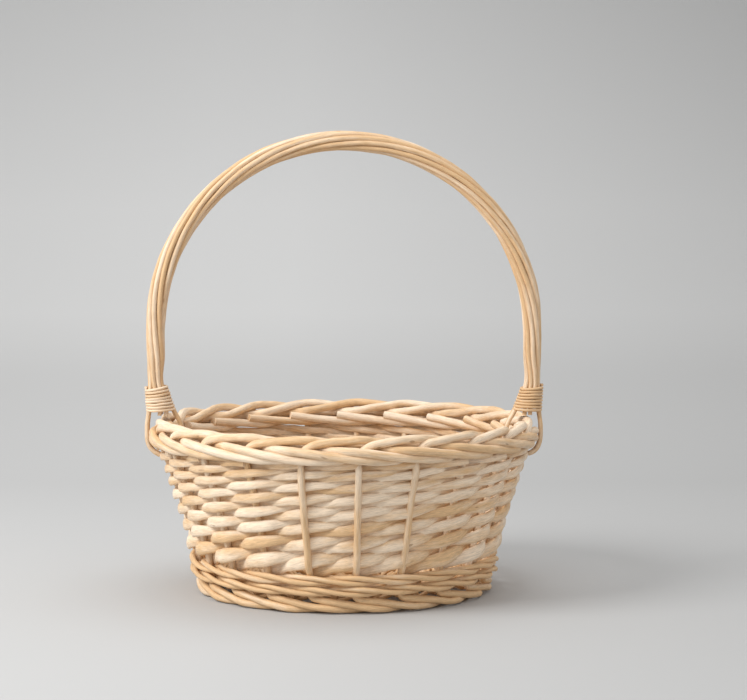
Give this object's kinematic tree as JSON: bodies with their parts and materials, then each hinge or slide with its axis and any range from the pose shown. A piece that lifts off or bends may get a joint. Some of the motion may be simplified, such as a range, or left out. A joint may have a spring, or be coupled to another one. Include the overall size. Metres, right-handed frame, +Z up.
{
  "type": "woven market basket",
  "caption": "Round market basket of woven peeled willow: flared open wall, plaited border and foot, woven base, and a fixed roped bow handle bound to the rim.",
  "frame": {"origin": "on the floor at the centre of the woven foot ring", "axes": "+Z up; the bow handle stands in the XZ plane; -Y is the front, seen with the handle face on"},
  "size_m": [0.3004, 0.2919, 0.3446],
  "materials": {
    "stake_willow": "satin",
    "siding_willow": "satin",
    "wale_willow": "satin",
    "handle_willow": "satin",
    "base_willow": "satin"
  },
  "bodies": {
    "root": {"base_pierced_sticks": "base_willow", "base_through_sticks": "base_willow", "base_weavers": "base_willow", "handle_binding_left": "handle_willow", "handle_binding_right": "handle_willow", "handle_core": "handle_willow", "handle_rope_rod_1": "handle_willow", "handle_rope_rod_2": "handle_willow", "handle_rope_rod_3": "handle_willow", "handle_rope_rod_4": "handle_willow", "handle_rope_rod_5": "handle_willow", "handle_rope_rod_6": "handle_willow", "handle_rope_rod_7": "handle_willow", "handle_rope_rod_8": "handle_willow", "handle_rope_rod_9": "handle_willow", "side_stake_01": "stake_willow", "side_stake_02": "stake_willow", "side_stake_03": "stake_willow", "side_stake_04": "stake_willow", "side_stake_05": "stake_willow", "side_stake_06": "stake_willow", "side_stake_07": "stake_willow", "side_stake_08": "stake_willow", "side_stake_09": "stake_willow", "side_stake_10": "stake_willow", "side_stake_11": "stake_willow", "side_stake_12": "stake_willow", "side_stake_13": "stake_willow", "side_stake_14": "stake_willow", "side_stake_15": "stake_willow", "side_stake_16": "stake_willow", "side_stake_17": "stake_willow", "side_stake_18": "stake_willow", "side_stake_19": "stake_willow", "side_stake_20": "stake_willow", "side_stake_21": "stake_willow", "siding_rod_01": "siding_willow", "siding_rod_02": "siding_willow", "siding_rod_03": "siding_willow", "siding_rod_04": "siding_willow", "siding_rod_05": "siding_willow", "siding_rod_06": "siding_willow", "siding_rod_07": "siding_willow", "siding_rod_08": "siding_willow", "siding_rod_09": "siding_willow", "siding_rod_10": "siding_willow", "siding_rod_11": "siding_willow", "siding_rod_12": "siding_willow", "siding_rod_13": "siding_willow", "siding_rod_14": "siding_willow", "siding_rod_15": "siding_willow", "siding_rod_16": "siding_willow", "siding_rod_17": "siding_willow", "siding_rod_18": "siding_willow", "siding_rod_19": "siding_willow", "siding_rod_20": "siding_willow", "siding_rod_21": "siding_willow", "wale_rod_1": "wale_willow", "wale_rod_2": "wale_willow", "wale_rod_3": "wale_willow"}
  },
  "joints": []
}
